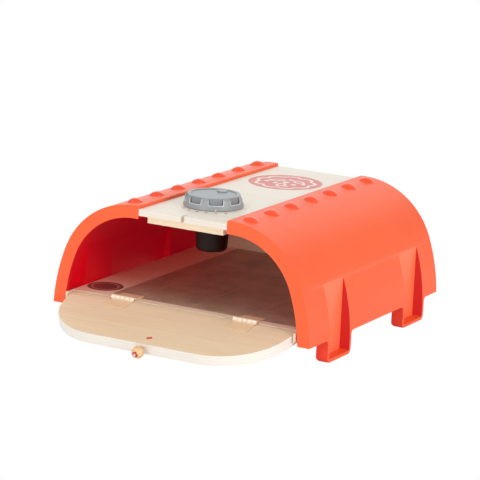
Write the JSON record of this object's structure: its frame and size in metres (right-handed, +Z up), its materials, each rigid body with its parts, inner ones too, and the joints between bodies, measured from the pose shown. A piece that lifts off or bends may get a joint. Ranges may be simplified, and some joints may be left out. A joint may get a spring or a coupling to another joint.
{
  "type": "toy oven",
  "caption": "Play oven with two arched plastic shells, a plywood top with a click dial, and a drop-down door that a bead on an elastic cord holds shut.",
  "frame": {"origin": "under the middle of the whole object with the door open, at the height of the soles of the feet", "axes": "+Z up, -Y towards the front, where the door folds down, +X to the right of someone facing the door's inside from the front"},
  "size_m": [0.3, 0.3826, 0.1491],
  "materials": {
    "shell_plastic": "moulded orange plastic, satin gloss",
    "rivet_plastic": "glossy orange-red plastic",
    "birch_ply": "pale lacquered birch plywood",
    "pale_wood": "cream lacquered wood",
    "printed_board": "board with a stone-tile print",
    "door_wood": "fine-grained lacquered wood",
    "back_board": "plain plywood",
    "hinge_metal": "cream coated",
    "pin_steel": "drawn steel",
    "bead_wood": "turned beech, clear lacquer",
    "elastic": "braided elastic, red over white",
    "dial_grey": "satin blue-grey",
    "clicker_dark": "dark brown-grey",
    "clicker_nylon": "natural nylon",
    "spring_steel": "spring steel",
    "screw_steel": "zinc-plated"
  },
  "bodies": {
    "housing": {"left_shell": "shell_plastic", "right_shell": "shell_plastic", "left_rivets": "rivet_plastic", "right_rivets": "rivet_plastic", "top_panel": "birch_ply", "front_rail": "pale_wood", "rear_rail": "pale_wood", "floor_panel": "printed_board", "back_panel": "back_board", "left_floor_leaf": "hinge_metal", "right_floor_leaf": "hinge_metal", "left_hinge_pin": "pin_steel", "right_hinge_pin": "pin_steel", "shaft_bush": "clicker_nylon", "click_spring": "spring_steel", "clicker_housing": "clicker_dark", "housing_screws": "screw_steel", "panel_screws": "screw_steel", "rail_screws": "screw_steel", "floor_screws": "screw_steel", "back_screws": "screw_steel"},
    "door": {"door": "door_wood", "left_door_leaf": "hinge_metal", "right_door_leaf": "hinge_metal", "inner_knot": "elastic"},
    "bead": {"bead": "bead_wood", "elastic_cord": "elastic", "outer_knot": "elastic"},
    "dial": {"dial": "dial_grey", "dial_shaft": "pin_steel", "click_wheel": "clicker_nylon"}
  },
  "joints": [
    {"name": "door_hinge", "type": "hinge", "parent": "housing", "child": "door", "pos_m": [0, -0.09639, 0.0376], "axis": [-1, 0, 0], "range_deg": [0, 102.4]},
    {"name": "bead_pull", "type": "slide", "parent": "door", "child": "bead", "axis": [0, -0.9767, -0.2147], "range_m": [0, 0.01425]},
    {"name": "dial_turn", "type": "hinge", "parent": "housing", "child": "dial", "pos_m": [-0.002, -0.04069, 0.1358], "axis": [0, 0, 1], "range_deg": [-65.5, 16.4]}
  ],
  "couplings": [
    {"joint": "bead_pull", "follows": "door_hinge", "m_per_rad": 0.0079453}
  ]
}
